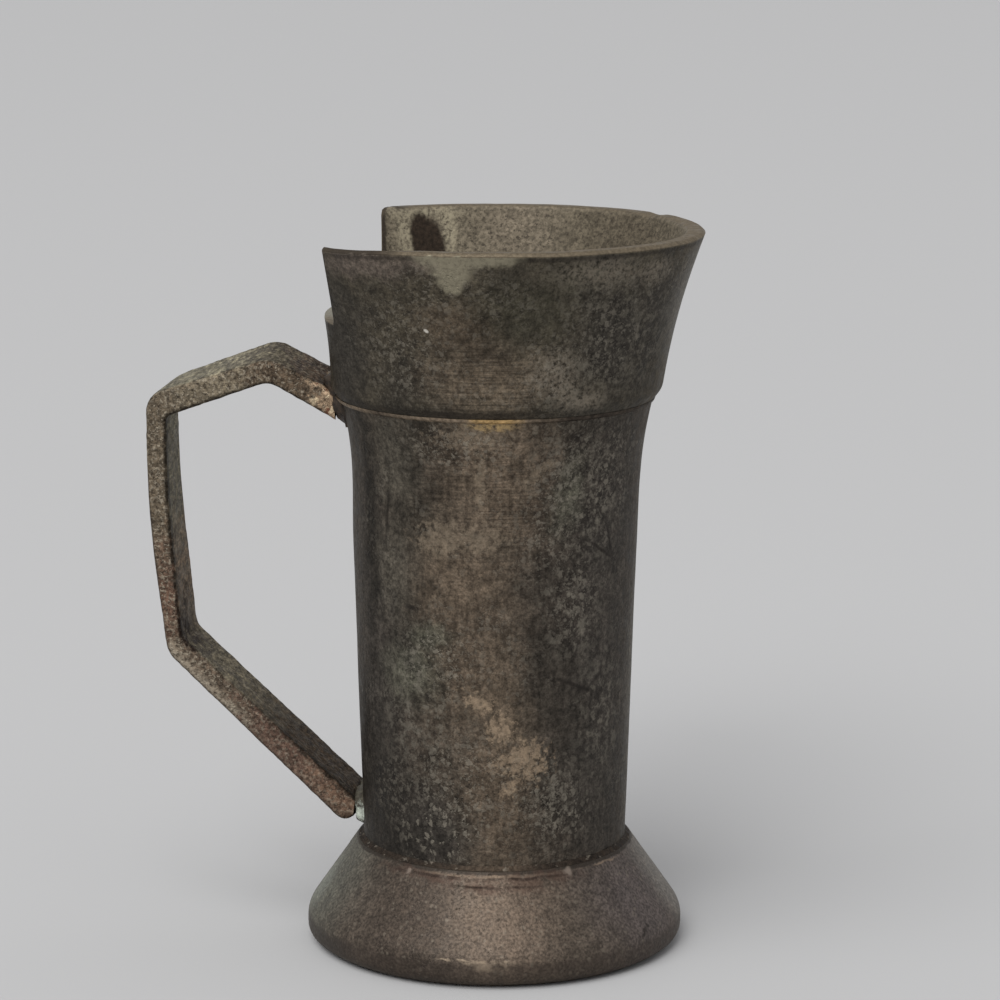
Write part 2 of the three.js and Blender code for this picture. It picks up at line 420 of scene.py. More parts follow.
rust_patches = [(-104, 6.55, 4, 0.3), (-62, 6.5, 3, 0.35), (-78, 6.05, 3.4, 0.25)]
skin.stain(fray, 9.6, rust_patches, 0.7, tone(76, 56, 47), 0.6, gnaw=mottle)
cut_lines = [(-108, 6.55, 3.4, 0.08), (-66, 6.55, 2.4, 0.09), (-80, 6.07, 3, 0.08)]
skin.stain(skin.frayed(0.3, 1.0), 9.6, cut_lines, 0.6, tone(46, 35, 29), 0.8, gnaw=mottle)
crust_patches = [(-49, 6.75, 0.26, 0.2), (-116, 6.6, 0.2, 0.15)]
skin.stain(skin.frayed(0.6, 1.8), 9.4, crust_patches, 0.6, tone(150, 136, 124), 0.6)
# A short pale broken line on the front of the shoulder: a painted highlight on its rounded edge.
painted_highlight_patches = [(-92, 1.98, 1.1, 0.06), (-82, 1.86, 1.5, 0.13), (-81, 1.55, 1, 0.25)]
highlight_edge = skin.frayed(0.5, 1.6)
skin.stain(highlight_edge, foot_radius - 0.1, painted_highlight_patches, 0.6, tone(176, 158, 136), 0.7, gnaw=mottle)
chip_patches = [(-27, 2.3, 0.4, 0.12, -25), (-24, 2.6, 0.15, 0.1)]
skin.stain(skin.frayed(0.6, 1.8), 12, chip_patches, 0.6, tone(36, 31, 27), 0.8)
# The band below the shoulder is made darker, and more so on the handle's side: painted shade where it faces
# down.
under = skin.band(skin.height(skin.frayed(0.7, 1.0)), foot_shoulder, foot_shoulder - 0.5)
skin.coat(under, tone(56, 48, 43), 0.45)
shaded = skin.times(under, skin.stains(fray, 12.5, [(-155, 1, 5, 3)], 0.7))
skin.coat(shaded, tone(56, 52, 50), 0.5)
normal = skin.relief((mottle, 0.04), (grain, 0.03), (pits, -0.02))
skin.lay_on(foot, skin.band(mottle, 0.3, 0.7, 0.42, 0.64), normal)
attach(foot, "root")
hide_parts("foot")


# Tube
# The body of the cup: thin brass tube drawn to a slow taper and flared at its top end, turned on the outside
# and let into the foot's socket. It is dark with handling and speckled where the tarnish has lifted.

tube_start = tube_low.z
tube_top = tube_high.z
seat_radius = tube_high.x
waist_radius = 9.55
tube_wall = 0.85
flare_start = 29.55
collar_edge = 37.25
press_depth = 0.2
tube_lumps = [(0.03, 7.0), (0.008, 1.5)]


def curve(start, start_pull, end_pull, end, steps):
    """Points of a smooth curve from start to end, drawn towards the two pulls."""
    points = []
    for step in range(steps + 1):
        share = step / steps
        first = Vector(start).lerp(Vector(start_pull), share)
        middle = Vector(start_pull).lerp(Vector(end_pull), share)
        last = Vector(end_pull).lerp(Vector(end), share)
        points.append(first.lerp(middle, share).lerp(middle.lerp(last, share), share))
    return points


def tube_side(inset):
    """The tube's side as (radius, height, round) corners from its lower end up, moved in by the inset."""
    flare = curve(
        (waist_radius - inset, flare_start),
        (waist_radius - inset + 0.104, flare_start + 3.465),
        (seat_radius - inset - 0.591, collar_edge - 2.464),
        (seat_radius - inset, collar_edge),
        24,
    )
    return [
        (neck_radius - inset, tube_start, 0),
        *((point.x, point.y, 0) for point in flare),
        (seat_radius - inset, tube_top, 0),
    ]


def tube_shape(angle, radius, height):
    """Wear of the tube: it is pressed in a little under the handle's upper end, and isn't quite round."""
    if foot_top + 0.3 < height < collar_edge - 0.3:
        pressed = eased_step(height, flare_start - 2, collar_edge - 2) * eased_step(pi - abs(angle), 0.8, 0.3)
        radius -= press_depth * pressed
        radius += uneven(on_cup(angle, radius, height), tube_lumps)
    return radius, height


tube_line = closed_line(tube_side(0) + tube_side(tube_wall)[::-1], spacing=0.3)
tube = turned_piece("cup_tube", tube_line, tube_shape, closed=True)


def clouded(skin):
    """The clouds of the tube's and the mouth's skins, from wide to fine, and their two ragged places."""
    clouds = [skin.speckle(0.13, 3.0), skin.speckle(0.95, 4.0, 0.66)]
    clouds += [skin.speckle(3.6, 3.0, 0.65), skin.speckle(9.0, 2.0, 0.6)]
    return *clouds, skin.frayed(1.9, 0.8), skin.frayed(0.8, 1.7)


def flaked(skin, crowds, most):
    """Flakes and pits in crowds, and the flakes' ragged place. Outside the crowds there are fewer: the most
    that a wide cloud's humps have is given."""
    crowds = skin.either(crowds, skin.band(skin.speckle(0.3, 2.0), 0.46, 0.66, 0.1, most))
    ragged = skin.frayed(0.8, 2.2)
    flakes = skin.either(skin.dabs(2.3, ragged), skin.times(skin.dabs(4.2, ragged, 0.06), 0.7))
    pits = skin.band(skin.speckle(2.7, 2.5, 0.6), 0.55, 0.7)
    return skin.times(flakes, crowds), skin.times(pits, crowds), ragged


glance = tone(176, 172, 166)
skin = Finish("tube_patina", 0.5, glance)
clouds, mottle, grain, dust, fray, edge = clouded(skin)
shreds = skin.speckle(2.3, 6.0, 0.75)
umber, brown, warm_brown = tone(52, 47, 40), tone(74, 66, 57), tone(94, 82, 69)
slate, green_grey, worn_pink = tone(63, 59, 55), tone(93, 93, 80), tone(154, 135, 113)
# Soot and shadow is one near-black: for pits, scores and worn hollows, and for the painted shadow under the
# mouth's lip.
pale_crust, bare_gold, soot_and_shadow = tone(142, 135, 122), tone(172, 146, 102), tone(34, 30, 27)
skin.colour = skin.paint(skin.band(clouds, 0.36, 0.62), umber, brown)
front_patches = [(-78, 33.5, 3.4, 5), (-92, 26, 3.2, 3.6), (-78, 14, 2, 9), (-88, 20, 2.6, 4)]
skin.stain(fray, 9.5, front_patches, 0.7, warm_brown, 0.85)
side_patches = [(-22, 22, 5.4, 18), (-150, 20, 4.2, 18), (-118, 9, 3.6, 3)]
skin.stain(fray, 9.4, side_patches, 0.6, slate, 0.8)
# A paler patch on the tube's right flank: a painted reflection of light along that side.
skin.stain(fray, 9.2, [(9, 17, 2.2, 11)], 0.7, tone(102, 99, 92), 0.75)
grey_patches = [(-122, 34, 1.8, 3), (-124, 27, 1.6, 3)]
skin.stain(fray, 9.8, grey_patches, 0.8, tone(80, 75, 66), 0.8)
dark_patches = [(-140, 10, 4.4, 6), (-128, 8.4, 3, 2.4), (-138, 30, 0.7, 7)]
skin.stain(fray, 9.2, dark_patches, 0.7, tone(38, 35, 31), 0.85)
dim_patches = [(-60, 26.3, 2.4, 1.4, -20), (-48, 17.6, 2.4, 1.8, 18), (-58, 20.5, 1.6, 3.5)]
skin.stain(fray, 9.2, dim_patches, 0.7, tone(49, 45, 40), 0.55)
green_patches = [(-51, 32.1, 1, 2.2, 12), (-117, 19.9, 2.1, 1.8), (-106, 22.6, 1.5, 0.8)]
skin.stain(fray, 9.3, green_patches, 0.7, green_grey, 0.55)
skin.vary((mottle, 0.62, 1.42), (grain, 0.62, 1.42), (dust, 0.8, 1.22))
turning = skin.speckle(1.0, 3.0, 0.7, skin.stretched(0.2, 0.2, 6.5))
skin.stain(fray, 9.8, [(-85, 32.5, 5.5, 5.5)], 0.6, skin.broken(skin.colour, turning, 0.74, 1.28))
brushed = skin.speckle(1.0, 3.0, 0.6, skin.stretched(2.6, 2.6, 0.3))
skin.vary((brushed, 0.8, 1.22))
streak_patches = [
    (-62, 33.8, 1.9, 0.5, -38), (-85.5, 33, 0.45, 2.6), (-84, 29.3, 1.8, 1.1), (-88, 36, 2.8, 0.8),
    (-101, 29.2, 2, 1.3),
]
streaks = skin.torn(skin.stains(edge, 9.7, streak_patches, 0.9), shreds)
skin.coat(streaks, skin.broken(tone(138, 124, 106), grain, 0.8, 1.25), 0.48)
lifted_patches = [
    (-47, 34, 2.8, 2.6), (-40, 30.5, 1.8, 3), (-46, 24, 2, 2.4), (-29, 17, 2, 4), (-112, 17.5, 2.6, 3.6),
    (-55, 12, 1.4, 1.6),
]
scabs = skin.speckle(1.5, 5.0, 0.7)
skin.scab(skin.stains(edge, 9.4, lifted_patches, 0.95), scabs, tone(128, 122, 110), soot_and_shadow)
worn_patches = [
    (-86, 18.3, 1.3, 0.6, 25), (-77.5, 16.7, 0.9, 1.1, 25), (-68, 14.3, 1.8, 1.5),
    (-74, 12.5, 0.7, 0.6, -30),
]
worn = skin.torn(skin.stains(skin.frayed(1.2, 1.1), 9.1, worn_patches, 0.95), shreds)
skin.coat(worn, skin.broken(worn_pink, grain, 0.75, 1.2), 0.8)
crowd_patches = [
    (-32, 33, 2.6, 3.4), (-104, 21, 3, 2.6), (-95, 20.6, 0.9, 1.4), (-54, 31.5, 2.4, 5, 15),
    (-94, 13, 3.6, 3), (-46, 25, 2, 3), (-58, 11.5, 2.6, 3), (-95, 35.5, 3.6, 1.6),
]
flakes, pits, ragged = flaked(skin, skin.stains(fray, 9.3, crowd_patches, 0.8), 0.55)
skin.coat(flakes, pale_crust, 0.5)
skin.coat(pits, soot_and_shadow, 0.6)
drip_patches = [(-101, 9.6, 3, 2.2), (-50, 10.8, 1.8, 2)]
drips = skin.dabs(3.0, skin.stretched(1, 1, 0.6, place=ragged), 0.02)
drips = skin.times(drips, skin.stains(fray, 8.9, drip_patches, 0.7))
skin.coat(drips, pale_crust, 0.6)
score_patches = [
    (-33.8, 28.1, 1.55, 0.11, 32), (-28.3, 28.5, 0.1, 1.35, -17), (-115.5, 24.4, 0.6, 0.14),
    (-44, 19.1, 1.7, 0.12, 22), (-127, 30.5, 0.12, 1.6, 6),
]
skin.stain(skin.frayed(0.3, 1.2), 9.5, score_patches, 0.7, soot_and_shadow, 0.75)
skin.stain(edge, 10.3, [(-81, 36.8, 1.4, 0.24)], 0.7, bare_gold, 0.85, gnaw=grain)
faced = skin.node("ShaderNodeTexCoord", {}, "Normal")
outward = skin.vector("DOT_PRODUCT", faced, skin.stretched(1, 1, 0), output="Value")
inside = skin.band(outward, 0.5, -0.5)
inside_tone = skin.broken(tone(92, 84, 71), mottle, 0.74, 1.26)
skin.coat(inside, skin.broken(inside_tone, grain, 0.6, 1.45))
raised = skin.either(flakes, drips)
normal = skin.relief((mottle, 0.035), (grain, 0.04), (turning, 0.006), (raised, 0.03), (pits, -0.03))
skin.lay_on(tube, skin.band(mottle, 0.3, 0.7, 0.36, 0.64), normal)
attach(tube, "root")
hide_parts("beaker_tube")


# Solder at the neck
# The run of solder in the corner between the tube and the foot's lip, wiped round by hand. It is as dark as
# the tube, partly its own tarnish and partly painted shade in the corner, with pale crumbs and a painted
# highlight at the front.

neck_lumps = [(0.05, 0.7), (0.03, 3.0)]
neck_corners = [
    (neck_radius + 0.02, foot_top - 0.03, 0),
    (foot_lip_radius - 0.03, foot_top - 0.02, 0.05),
    (neck_radius + 0.2, foot_top + 0.12, 0.06),
    (neck_radius + 0.06, foot_top + 0.27, 0),
    (neck_radius, foot_top + 0.15, 0),
]


def solder_bead(name, corners, spacing, lumps, lift):
    """A ring of solder with a section of (radius, height, round) corners. Its lumps stand out of it, and the
    lift is the share of that by which they also stand up."""

    def lumpy(angle, radius, height):
        lump = uneven(on_cup(angle, radius, height), lumps)
        return radius + lump, height + lump * lift

    return turned_piece(name, closed_line(corners, spacing), lumpy, closed=True)


neck_solder = solder_bead("neck_solder", neck_corners, spacing=0.07, lumps=neck_lumps, lift=0.5)
skin = Finish("neck_crust", 0.4, glance)
mottle = skin.speckle(1.4, 4.0, 0.7)
grain = skin.speckle(4.2, 3.0, 0.65)
# Dark base: partly the solder's own tarnish, partly painted shade in the corner between the tube and the
# foot.
skin.colour = skin.paint(skin.band(mottle, 0.35, 0.6), tone(36, 30, 25), tone(53, 45, 38))
# A lighter patch at the front: a painted highlight.
skin.stain(skin.frayed(1.2, 1.0), 9.1, [(-80, 7, 2.4, 0.6)], 0.7, tone(84, 72, 60), 0.7)
crumbs = skin.dabs(2.6, skin.frayed(0.6, 2.0), -0.06)
skin.coat(crumbs, tone(132, 124, 112), 0.45)
skin.vary((grain, 0.6, 1.45))
normal = skin.relief((mottle, 0.06), (grain, 0.05))
skin.lay_on(neck_solder, skin.band(mottle, 0.3, 0.7, 0.5, 0.8), normal)
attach(neck_solder, "root")
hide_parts("neck_seam_ring")


# Mouth
# A brass sleeve slipped over the tube's top and opened into a trumpet with a thick lip. A piece of its rim is
# sawn out over the handle, flat at the bottom and straight at the sides, and the wall under the cut has been
# pressed in a little.

mouth_low, mouth_high = reach("flared_mouth")
rim_height = mouth_high.z
rim_radius = mouth_high.x
lip_wall = 1.3
lip_round = 0.2
lip_edge = rim_height - lip_round
collar_height = mouth_low.z + 0.6
collar_radius = 11.1
sleeve_radius = seat_radius + 0.05
sleeve_end = tube_top + 0.05
bore_radius = seat_radius - tube_wall
bore_rim = rim_radius - lip_wall
notch_floor = 42.7
near_cut = 9.5
near_cut_slant = 0.055
far_cut = 9.42
far_cut_slant = 0.12
cut_ease = 0.07
hairline = 1e-5
lean_start = 0.19
lean_rate = 0.124
bore_droop = 0.2
corner_droop = 0.3
far_rise = 0.13
dent_depth = 0.12
dent_turn = 45
mouth_lumps = [(0.03, 6.0), (0.006, 1.3)]
rim_wear = [(0.03, 4.0), (0.012, 1.2)]
outer_points = 64
cut_points = 7
inner_points = 70


def mouth_shape(angle, radius, height):
    """The mouth's faults: the wall leans in under the notch, one corner of the rim droops and the far side
    stands a little high, the rim has a dent, and all of it is worn."""
    above_sill = eased_step(height, notch_floor, rim_height)
    near_rim = eased_step(height, rim_height - 2, rim_height)
    lean = max(0, lean_start + lean_rate * (height - collar_height))
    if radius < sleeve_radius + (height - tube_top) * 0.3:
        lean *= eased_step(height, tube_top, tube_top + 1.5)
    radius -= lean * eased_step(pi - abs(angle), radians(46), radians(12))
    if radius < rim_radius - lip_wall / 2:
        height -= bore_droop * near_rim * eased_step(angle, radians(-95), radians(-125))
    height -= corner_droop * above_sill * eased_step(angle, radians(-100), radians(-133))
    height += far_rise * above_sill * eased_step(sin(angle), -0.2, 0.8)
    height -= dent_depth * near_rim * eased_step(abs(angle - radians(dent_turn)), radians(5), 0)
    if height > collar_height + 0.2:
        radius += uneven(on_cup(angle, radius, height), mouth_lumps)
        height += uneven(on_cup(angle, rim_radius, rim_height), rim_wear) * near_rim
    return radius, height


outer_side = curve(
    (collar_radius, collar_height),
    (collar_radius + 0.59, collar_height + 3.93),
    (rim_radius - 1.23, rim_height - 3.62),
    (rim_radius, lip_edge),
    70,
)[4:]
bore_side = curve(
    (bore_radius, sleeve_end),
    (bore_radius + 0.5, sleeve_end + 3.35),
    (bore_rim - 1.05, rim_height - 3.11),
    (bore_rim, lip_edge),
    70,
)
lip_line = [Vector((rim_radius - lip_round, rim_height)), Vector((bore_rim + lip_round, rim_height))]


def spread(points, count):
    """The same line with count points at even steps along it."""
    lengths = [0]
    for start, end in zip(points, points[1:]):
        lengths.append(lengths[-1] + (end - start).length)
    spots = []
    index = 0
    for step in range(count):
        goal = lengths[-1] * step / (count - 1)
        while index < len(points) - 2 and lengths[index + 1] < goal:
            index += 1
        run = lengths[index + 1] - lengths[index]
        share = (goal - lengths[index]) / run if run > 0 else 0
        spots.append(points[index].lerp(points[index + 1], min(1, max(0, share))))
    return spots


def drawn_back(line, ease):
    """A line whose last point is the edge of the saw cut, ended the ease's length before that edge."""
    end = line[-1]
    kept = line[:1] + [point for point in line[1:-1] if (point - end).length >= ease]
    return kept + [end + (kept[-1] - end).normalized() * ease]


def mouth_section(angle):
    """The wall's section at an angle: out from the collar, over the lip or the saw cut, and down the bore."""
    wall = [Vector(mouth_shape(angle, *point)) for point in outer_side + lip_line + bore_side[::-1]]
    lip_start = len(outer_side) - 1
    lean = cos(pi - abs(angle))
    chord, slant = (far_cut, far_cut_slant) if angle > 0 else (near_cut, near_cut_slant)

    def past_cut(point):
        """How far a point is past the saw cut's upright face, and how far above its floor."""
        return point.x * lean - chord + slant * (rim_height - point.y), point.y - notch_floor

    def edge(kept, lost):
        """Where a step of the wall enters the cut."""
        shares = [0]
        for before, after in zip(past_cut(kept), past_cut(lost)):
            if before <= 0 < after:
                shares.append(before / (before - after))
        return kept.lerp(lost, max(shares))

    inside = [lean > 0.3 and min(past_cut(point)) > 0 for point in wall]
    if not any(inside):
        cut = [wall[lip_start]] * (2 * cut_points)
        return spread(wall[:lip_start + 1], outer_points), cut, spread(wall[lip_start:], inner_points)
    first = inside.index(True)
    last = len(inside) - 1 - inside[::-1].index(True)
    entry = edge(wall[first - 1], wall[first])
    leave = edge(wall[last + 1], wall[last])
    corner = Vector(((chord - slant * (rim_height - notch_floor)) / lean, notch_floor))
    on_floor = [abs(point.y - notch_floor) < hairline for point in (entry, leave)]
    if on_floor[0] == on_floor[1]:
        corner = entry.lerp(leave, 0.5)
    ease = min(cut_ease, (entry - leave).length / 3)
    outer = drawn_back(wall[:first] + [entry], ease)
    inner = drawn_back(wall[:last:-1] + [leave], ease)[::-1]
    inward = entry + (corner - entry).normalized() * ease
    outward = leave + (corner - leave).normalized() * ease
    cut = spread([inward, corner], cut_points) + spread([corner, outward], cut_points)
    return spread(outer, outer_points), cut, spread(inner, inner_points)


sleeve_line = [Vector((sleeve_radius, sleeve_end)), Vector((sleeve_radius, sleeve_end - 1.1))]
sleeve_line += eased(
    [
        (sleeve_radius, mouth_low.z, 0),
        (sleeve_radius + 0.1, mouth_low.z, 0.05),
        (collar_radius, collar_height, 0.3),
        (collar_radius + 0.09, collar_height + 0.6, 0),
    ],
    spacing=0.15,
)[:-1]
mouth_shell = bmesh.new()
lining = mouth_shell.verts.layers.float.new("lining")
columns = []
for step in range(turn_steps):
    angle = tau * step / turn_steps - pi
    outer, cut, inner = mouth_section(angle)
    outside = [Vector(mouth_shape(angle, *point)) for point in sleeve_line] + outer
    section = [(point, -(point - outer[-1]).length) for point in outside]
    section += [(point, 0.5) for point in cut]
    lip_width = lip_wall if cut[0] == cut[-1] else 0.3
    for point in inner:
        down_bore = eased_step((point - inner[0]).length, lip_width * 0.7, lip_width * 1.15)
        section.append((point, 0.5 + 0.5 * down_bore))
    column = []
    for point, share in section:
        spot = corner_at(mouth_shell, angle, *point)
        spot[lining] = share
        column.append(spot)
    columns.append(column)
fill_bands(mouth_shell, columns, closed=True)
mouth = finished_piece("cup_mouth", mouth_shell)

skin = Finish("mouth_patina", 0.5, glance)
clouds, mottle, grain, dust, fray, edge = clouded(skin)
lining_share = skin.share("lining")
bore = skin.band(lining_share, 0.55, 0.95)
lip = skin.band(lining_share, 0.1, 0.45)
chalk, lip_brown, bore_beige = tone(146, 139, 119), tone(112, 101, 84), tone(106, 98, 83)
skin.colour = skin.paint(skin.band(clouds, 0.36, 0.62), tone(57, 53, 46), tone(74, 68, 57))
skin.stain(fray, 12, [(-84, 40, 3.6, 2.2)], 0.7, tone(98, 86, 72), 0.75)
skin.stain(fray, 12, [(-91, 43.4, 2.6, 1.5)], 0.7, tone(80, 69, 57), 0.75)
plum_patches = [(-119, 47.3, 4.2, 0.9), (-99, 47.6, 1.6, 0.6)]
skin.stain(fray, 13, plum_patches, 0.7, tone(98, 88, 80), 0.8)
cool_patches = [(-38, 42.5, 3.6, 3.4), (-140, 42, 3, 4.5), (-22, 43, 2.6, 4)]
skin.stain(fray, 12, cool_patches, 0.6, tone(54, 51, 47), 0.8)
# A paler patch on the mouth's right flank: a painted reflection of light along that side.
skin.stain(fray, 12.4, [(6, 45, 3.6, 4.6)], 0.7, tone(116, 113, 107), 0.85)
olive_patches = [(-71, 44.4, 3, 1.9), (-58, 46.6, 2, 1)]
skin.stain(fray, 12.5, olive_patches, 0.7, tone(60, 57, 47), 0.8)
skin.vary((mottle, 0.66, 1.38), (grain, 0.64, 1.4), (dust, 0.8, 1.22))
turning = skin.speckle(1.0, 3.0, 0.7, skin.stretched(0.2, 0.2, 6.5))
turned_patches = [(-82, 39.8, 5, 2.6), (-80, 38.3, 9, 0.8)]
skin.stain(fray, 11.5, turned_patches, 0.6, skin.broken(skin.colour, turning, 0.66, 1.36))
pale_patches = [
    (-61, 40.4, 1.5, 1.3), (-50, 38.4, 1.6, 0.6), (-57, 39.2, 1, 1), (-50, 46.9, 2.8, 0.9),
    (-30, 46.6, 1.7, 0.7),
]
skin.stain(edge, 11.5, pale_patches, 0.8, tone(138, 128, 114), 0.6, gnaw=grain)
lifted_patches = [(-46, 45, 3.2, 2.2), (-46, 40.6, 2.4, 2.2), (-26, 42, 2.4, 3)]
scabs = skin.speckle(1.5, 5.0, 0.7)
skin.scab(skin.stains(edge, 12, lifted_patches, 0.95), scabs, tone(118, 112, 100), soot_and_shadow)
crowd_patches = [
    (-110, 42, 3.2, 4), (-42, 42.6, 3.6, 3.6), (-62, 40.5, 2.2, 2.6), (-25, 46, 4.5, 1.8),
    (-98, 46, 3, 1.6),
]
flakes, pits, _ = flaked(skin, skin.stains(fray, 12, crowd_patches, 0.8), 0.6)
skin.coat(flakes, pale_crust, 0.4)
skin.coat(pits, soot_and_shadow, 0.6)
skin.stain(skin.place, 12.1, [(-101, 43.1, 0.17, 0.1, 30)], 0.4, tone(206, 200, 190))
# The collar's downward-facing lower edge is made darker on the front and left: painted shade.
collar_underside_shade = skin.band(skin.height(edge), collar_height + 0.05, collar_height - 0.2)
collar_underside_shade = skin.times(collar_underside_shade, skin.stains(fray, 11, [(-110, collar_height, 8, 3)], 0.4))
skin.coat(collar_underside_shade, tone(40, 35, 30), 0.55)
# A dark line on the outer wall just under the lip: painted shadow under its overhanging edge.
shadow_below_lip = skin.times(skin.band(lining_share, -0.5, -0.3), skin.band(lining_share, -0.02, -0.14))
skin.coat(shadow_below_lip, soot_and_shadow, 0.45)
spill_patches = [
    (-92.5, 48.2, 2.2, 1.1), (-83, 48.2, 2.3, 0.75), (-91.7, 47.1, 1.2, 1.1), (-91.7, 46.3, 0.75, 0.65),
]
spill = skin.stains(skin.frayed(1.0, 1.8), 13.4, spill_patches, 0.35)
spill = skin.times(spill, skin.band(grain, 0.25, 0.55, 0.5, 0.85))
skin.coat(spill, chalk)
lip_tone = skin.broken(lip_brown, grain, 0.75, 1.25)
dark_lip_patches = [(-122, 48, 3.4, 1.2), (134, 45.5, 1.4, 4.5)]
dark_lip = skin.stains(edge, bore_rim, dark_lip_patches, 0.5)
lip_tone = skin.paint(dark_lip, lip_tone, tone(52, 45, 39), 0.85)
skin.coat(lip, lip_tone)
skin.stain(edge, 11.3, [(180, notch_floor, 4.5, 0.5)], 0.5, tone(150, 148, 136), 0.7)
outside = skin.colour
skin.colour = bore_beige
skin.stain(fray, 12, [(126, 46.5, 3, 2.5)], 0.7, tone(126, 117, 100))
skin.stain(fray, 12, [(93, 46.8, 3, 2.4)], 0.7, tone(119, 109, 94), 0.8)
skin.stain(fray, 12, [(52, 46.5, 4.6, 3)], 0.7, tone(88, 80, 67), 0.85)
skin.vary((mottle, 0.84, 1.16), (grain, 0.6, 1.45))
bore_pits = skin.band(skin.speckle(4.8, 3.0, 0.65), 0.55, 0.64)
skin.coat(bore_pits, tone(52, 46, 40), 0.7)
halo_patches = [(115.5, 47.2, 0.5, 1.9), (131.5, 46.8, 0.6, 1.6), (124, 48, 2.4, 0.35)]
skin.stain(edge, 11.9, halo_patches, 0.7, tone(164, 155, 132), 0.75, gnaw=grain)
blotch_patches = [(125.6, 46.2, 0.85, 1.9), (122.6, 45.8, 1, 1.9)]
blotch_tone = skin.broken(tone(48, 39, 31), grain, 0.6, 1.4)
skin.stain(skin.frayed(0.5, 1.5), 12, blotch_patches, 0.2, blotch_tone)
# A dark line on the bore along the far saw cut's upright edge: painted shade of that edge.
cut_edge = far_cut_slant * rim_height - far_cut
from_cut = skin.vector("DOT_PRODUCT", skin.frayed(0.3, 1.5), (1, 0, far_cut_slant), output="Value")
cut_edge_shade = skin.band(from_cut, cut_edge + 0.32, cut_edge + 0.14)
skin.coat(cut_edge_shade, tone(50, 43, 37), 0.85)
skin.colour = skin.paint(bore, outside, skin.colour)
dull = skin.either(skin.band(mottle, 0.3, 0.7, 0.38, 0.64), skin.times(bore, 0.75))
normal = skin.relief((mottle, 0.035), (grain, 0.04), (flakes, 0.03), (pits, -0.03))
skin.lay_on(mouth, dull, normal)
skin.feed(skin.shader.inputs["Metallic"], skin.band(bore, 0, 1, 0.5, 0.15))
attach(mouth, "root")
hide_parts("flared_mouth")


# Solder under the collar
# The fillet of solder that was run round under the sleeve's lower edge to hold it on the tube. It is dull
# brown, rubbed to gold at the front, with a painted highlight along its pale edge at the front and left.

collar_lumps = [(0.02, 1.1)]
collar_corners = [
    (seat_radius - 0.07, collar_edge - 0.27, 0),
    (seat_radius + 0.1, collar_edge - 0.15, 0.05),
    (seat_radius + 0.16, collar_edge + 0.04, 0),
    (seat_radius - 0.05, collar_edge + 0.04, 0),
]
collar_solder = solder_bead("collar_solder_bead", collar_corners, spacing=0.05, lumps=collar_lumps, lift=1)
skin = Finish("collar_gold", 0.6, glance)
mottle = skin.speckle(1.0, 5.0, 0.7)
grain = skin.speckle(3.6, 3.0, 0.65)
fray = skin.frayed(1.5, 0.8)
skin.colour = skin.paint(skin.band(mottle, 0.35, 0.65), tone(46, 40, 35), tone(70, 62, 54))
# A pale line along the bead at the front and left: the solder's own pale tone, lightened as a painted
# highlight on its lower edge.
painted_highlight_patches = [(-92, collar_edge, 5, 1), (-145, collar_edge, 3, 1)]
skin.stain(fray, seat_radius, painted_highlight_patches, 0.5, tone(142, 126, 108), 0.8)
skin.stain(fray, seat_radius, [(-80, collar_edge, 1.5, 1)], 0.5, tone(186, 154, 104), 0.85)
skin.vary((grain, 0.6, 1.45))
skin.lay_on(collar_solder, skin.band(mottle, 0.3, 0.7, 0.36, 0.6), skin.relief((mottle, 0.04)))
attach(collar_solder, "root")
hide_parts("collar_solder")


# Handle
# One strip of brass bent by hand into four straights, with a file run along its edges. The upper arms are
# twisted a little, the corners are sharper on the near side, and both ends are cut to stand against the cup.

_, strap_high = reach("handle_strap")
strap_half_width = strap_high.y
strap_thickness = 1.5
strap_spacing = 0.13
strap_edge = 0.3
strap_lumps = [(0.03, 1.1), (0.025, 0.4)]
cut_end_lumps = [(0.12, 0.6)]
near_outer = [
    (-10.62, 37.5, 0), (-15, 39.45, 0.9), (-23.45, 36.77, 1.3), (-23.4, 28.5, 4), (-22.2, 19.1, 0.8),
    (-10.05, 7.8, 0.7), (-9.35, 8.25, 0),
]
near_inner = [
    (-10.41, 35.46, 0), (-14.95, 37.88, 0.6), (-22.02, 35.33, 0.35), (-22, 29.5, 3), (-21.15, 20.2, 0.4),
    (-9.75, 9.92, 0.3), (-9.2, 9.45, 0),
]
far_outer = [
    (-11.05, 38.15, 0), (-15.3, 40.2, 0.8), (-23.5, 37.1, 2), (-23.75, 30.8, 3), (-22.35, 18.95, 0.9),
    (-10.05, 7.8, 0.7), (-9.35, 8.25, 0),
]
far_inner = [
    (-10.85, 36.5, 0), (-15.15, 38.62, 0.8), (-22.35, 35.85, 0.6), (-22.25, 30.5, 3), (-21.2, 20.25, 0.5),
    (-9.75, 9.95, 0.3), (-9.2, 9.45, 0),
]


def bent(corners):
    """Points along one edge of the strip. Each edge gets the same number, so that the four pair up."""
    spots = [Vector(corner[:2]) for corner in corners]
    line = [spots[0]]
    for index in range(1, len(spots)):
        bend = [spots[index]]
        if corners[index][2] > 0:
            bend = rounded(spots[index - 1], spots[index], spots[index + 1], corners[index][2])
        run = Vector(near_outer[index][:2]) - Vector(near_outer[index - 1][:2])
        count = max(1, round(run.length / strap_spacing))
        start = line[-1]
        line += [start.lerp(bend[0], step / count) for step in range(1, count)]
        line += bend
    return line


